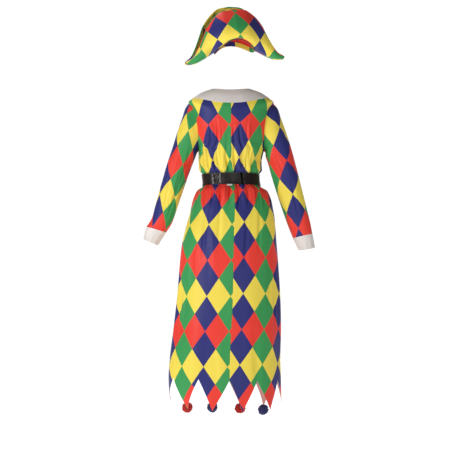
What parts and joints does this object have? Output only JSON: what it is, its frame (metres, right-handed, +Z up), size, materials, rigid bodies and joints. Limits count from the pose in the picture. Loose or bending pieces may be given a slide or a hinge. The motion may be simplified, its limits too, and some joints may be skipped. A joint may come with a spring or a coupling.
{
  "type": "harlequin costume",
  "caption": "Long diamond-print satin dress with a pointed hem and pompoms, white collar and cuffs, black waist belt and a matching bicorne hat, shaped as worn.",
  "frame": {"origin": "middle of the neck hole, level with the neck ends of the shoulders, where the wearer holds the dress", "axes": "+Z up, the costume's front faces -Y, the costume's own left is +X"},
  "size_m": [0.7494, 0.3299, 1.7989],
  "materials": {
    "printed_satin": "soft satin sheen, printed with red, yellow, green and blue diamonds",
    "white_satin": "soft satin sheen, off-white",
    "belt_cloth": "glossy crinkled coated cloth",
    "closing_tape": "matt woven tape",
    "red_yarn": "fluffy yarn",
    "blue_yarn": "fluffy yarn",
    "hat_print": "foam-backed satin, printed with red, yellow, green and blue diamonds"
  },
  "bodies": {
    "root": {"front_panel": "printed_satin", "back_left_panel": "printed_satin", "back_right_panel": "printed_satin", "sleeve_left": "printed_satin", "sleeve_right": "printed_satin", "cuff_left": "white_satin", "cuff_right": "white_satin", "collar": "white_satin", "belt": "belt_cloth", "belt_tape": "closing_tape", "pompom_1": "red_yarn", "pompom_2": "blue_yarn", "pompom_3": "red_yarn", "pompom_4": "blue_yarn", "hat_back_brim": "hat_print", "hat_front_brim": "hat_print", "hat_band": "hat_print", "hat_crown": "hat_print"}
  },
  "joints": []
}
